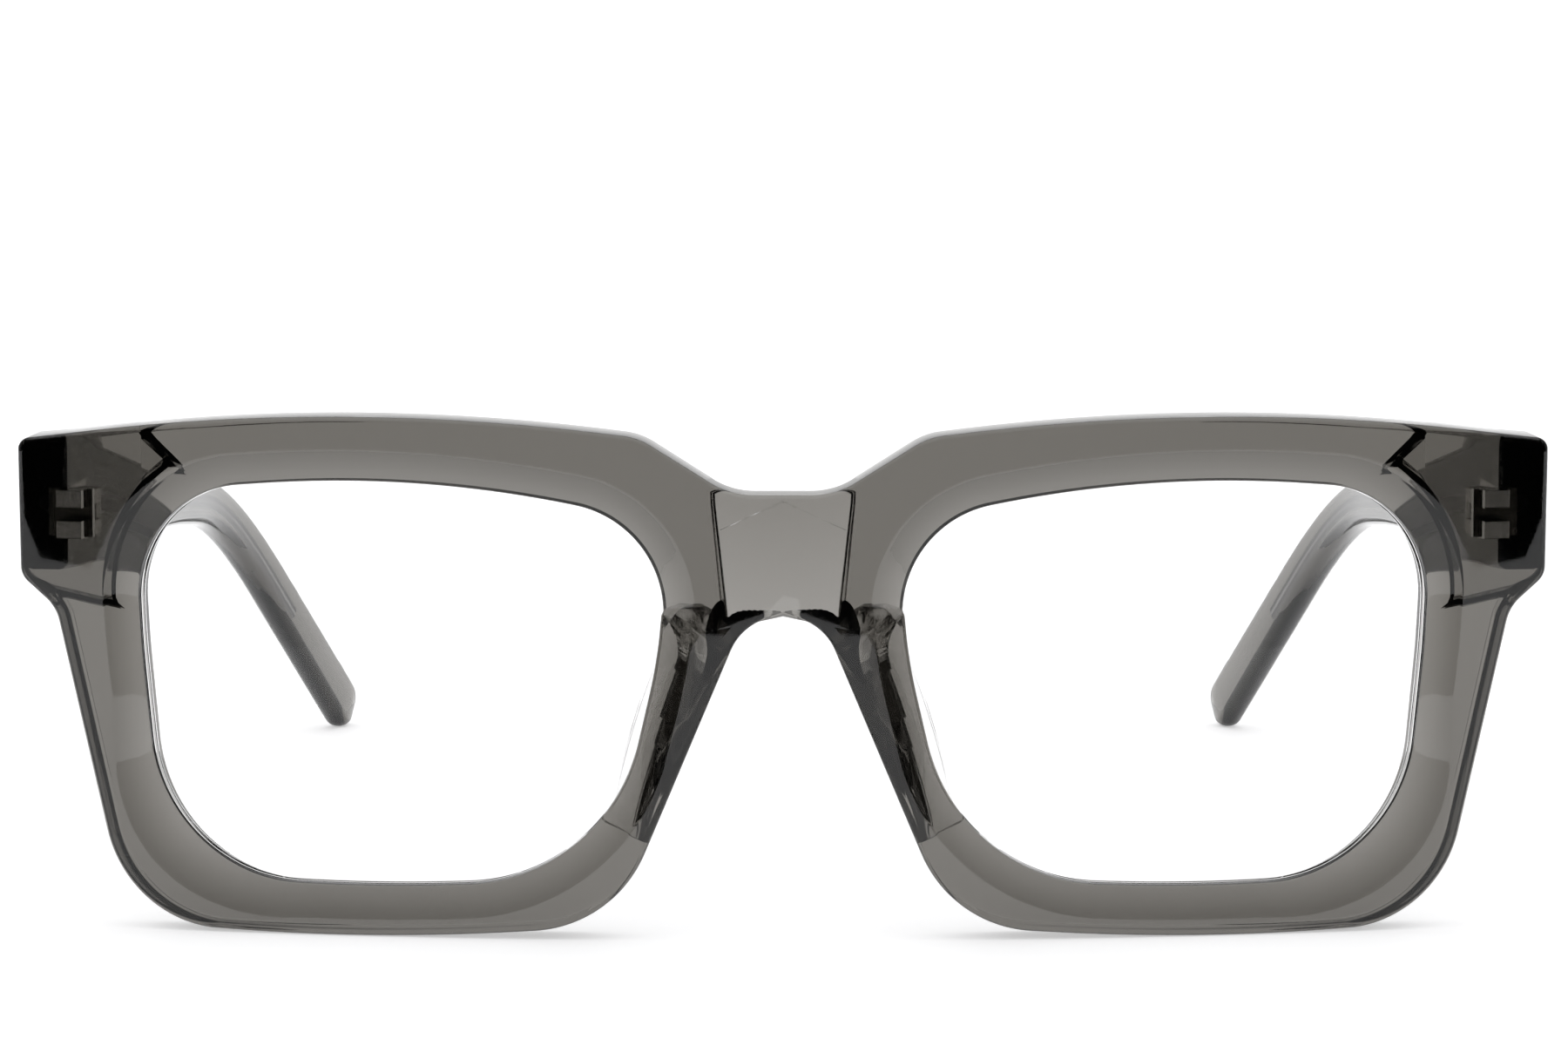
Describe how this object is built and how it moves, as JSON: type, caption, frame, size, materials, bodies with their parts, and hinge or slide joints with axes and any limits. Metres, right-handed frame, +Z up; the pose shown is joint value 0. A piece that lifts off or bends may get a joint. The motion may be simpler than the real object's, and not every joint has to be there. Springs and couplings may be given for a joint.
{
  "type": "eyeglasses",
  "caption": "Rectangular acetate eyeglasses with a bevelled front, nose pads, clear lenses and temples that fold on barrel hinges.",
  "frame": {"origin": "middle of the outer box, on the surface that the open glasses stand on", "axes": "+X across the face to the side called right, +Y from the front towards the temple tips, +Z up"},
  "size_m": [0.1478, 0.1496, 0.0503],
  "materials": {
    "acetate": "polished, see-through smoke grey",
    "lens": "polished, colourless",
    "hinge_metal": "satin",
    "core_wire": "drawn wire"
  },
  "bodies": {
    "front": {"front_frame": "acetate", "lens_left": "lens", "lens_right": "lens", "nose_pad_left": "acetate", "nose_pad_right": "acetate", "front_hinge_left": "hinge_metal", "front_hinge_right": "hinge_metal", "hinge_screw_left": "hinge_metal", "hinge_screw_right": "hinge_metal"},
    "left_temple": {"temple_left": "acetate", "temple_core_left": "core_wire", "temple_hinge_left": "hinge_metal"},
    "right_temple": {"temple_right": "acetate", "temple_core_right": "core_wire", "temple_hinge_right": "hinge_metal"}
  },
  "joints": [
    {"name": "left_fold", "type": "hinge", "parent": "front", "child": "left_temple", "pos_m": [-0.06707, -0.05752, 0.04], "axis": [0, 0, -1], "range_deg": [0, 83]},
    {"name": "right_fold", "type": "hinge", "parent": "front", "child": "right_temple", "pos_m": [0.06707, -0.05752, 0.04], "axis": [0, 0, 1], "range_deg": [0, 77]}
  ]
}
